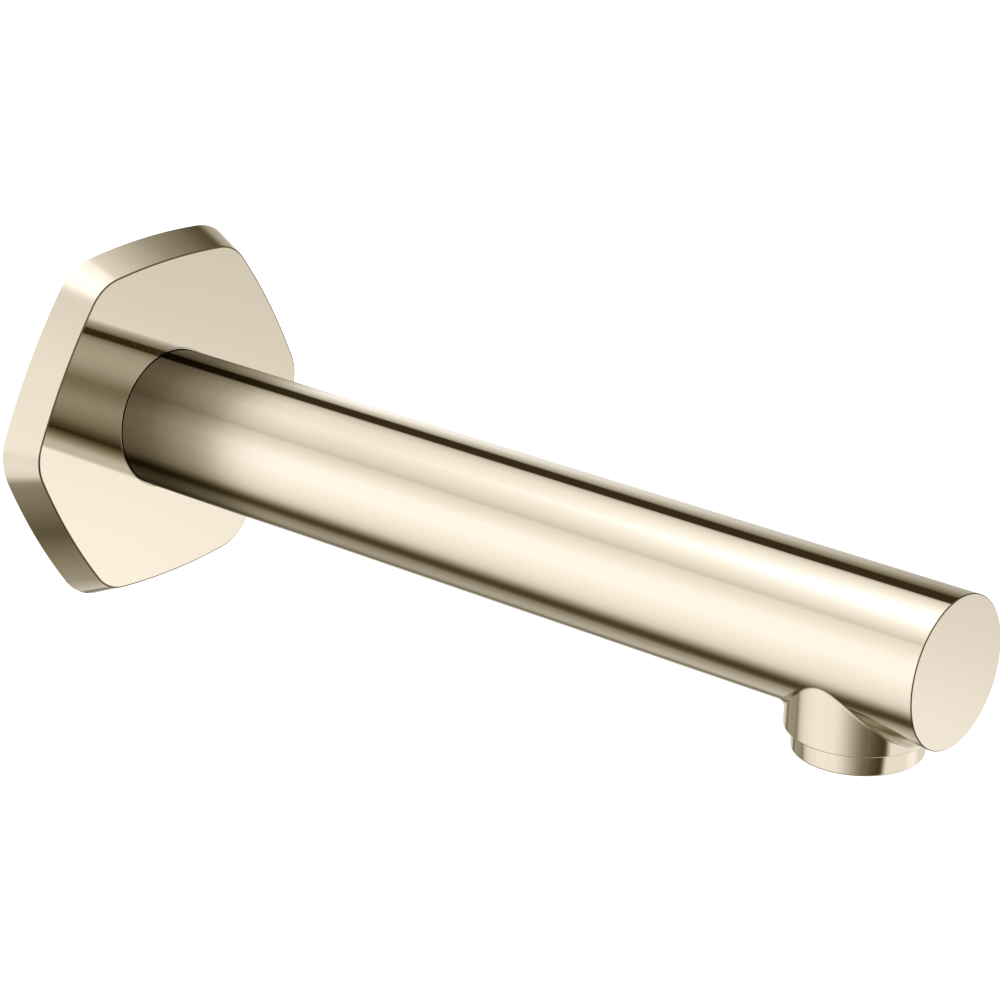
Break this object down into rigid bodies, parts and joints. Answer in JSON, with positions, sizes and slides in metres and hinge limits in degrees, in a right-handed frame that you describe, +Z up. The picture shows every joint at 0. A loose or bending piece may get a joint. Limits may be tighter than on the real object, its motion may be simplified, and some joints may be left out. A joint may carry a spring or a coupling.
{
  "type": "wall mounted bath spout",
  "caption": "Straight round wall mounted bath spout with a flat end, a short outlet neck with a screw-in aerator below, and a six-sided wall plate.",
  "frame": {"origin": "on the spout's axis, in the plane of the finished wall, where the nipple's half inch thread starts", "axes": "-Y along the spout out of the wall, +Z up, +X to the right when looking at the wall"},
  "size_m": [0.0902, 0.2331, 0.0826],
  "materials": {
    "polished_nickel": "polished nickel plate on brass",
    "plain_brass": "turned brass",
    "black_rubber": "smooth rubber",
    "orange_rubber": "smooth rubber",
    "grey_foam": "closed cell foam",
    "red_fibre": "pressed fibre",
    "stainless_steel": "turned",
    "steel_gauze": "woven wire",
    "white_plastic": "moulded",
    "green_plastic": "moulded",
    "grey_plastic": "moulded"
  },
  "bodies": {
    "root": {"spout_body": "polished_nickel", "end_cap": "polished_nickel", "inlet_socket": "plain_brass", "wall_nipple": "plain_brass", "flange_washer": "red_fibre", "nipple_o_ring_rear": "black_rubber", "nipple_o_ring_front": "black_rubber"},
    "wall_plate": {"escutcheon": "polished_nickel", "escutcheon_o_ring": "black_rubber", "wall_gasket": "grey_foam"},
    "set_screw": {"set_screw": "stainless_steel"},
    "aerator_seal": {"aerator_washer": "black_rubber"},
    "aerator": {"aerator_housing": "polished_nickel", "cartridge_body": "white_plastic", "inlet_strainer": "green_plastic", "regulator_disc": "white_plastic", "regulator_o_ring": "orange_rubber", "jet_plate": "white_plastic", "jet_spreader": "white_plastic", "mesh_upper": "steel_gauze", "mesh_spacer": "white_plastic", "mesh_lower": "steel_gauze", "outlet_grid": "grey_plastic"}
  },
  "joints": [
    {"name": "wall_plate_slide", "type": "slide", "parent": "root", "child": "wall_plate", "axis": [0, -1, 0], "range_m": [0, 0.17]},
    {"name": "set_screw_turn", "type": "hinge", "parent": "root", "child": "set_screw", "pos_m": [0, -0.0056, 0], "axis": [0, 0, -1], "range_deg": [0, 540]},
    {"name": "aerator_travel", "type": "slide", "parent": "root", "child": "aerator_seal", "axis": [0, 0, -1], "range_m": [0, 0.0051]},
    {"name": "aerator_turn", "type": "hinge", "parent": "aerator_seal", "child": "aerator", "pos_m": [0, -0.198, 0], "axis": [0, 0, -1], "range_deg": [0, 1800]}
  ],
  "couplings": [
    {"joint": "aerator_travel", "follows": "aerator_turn", "m_per_rad": 0.00015915}
  ]
}
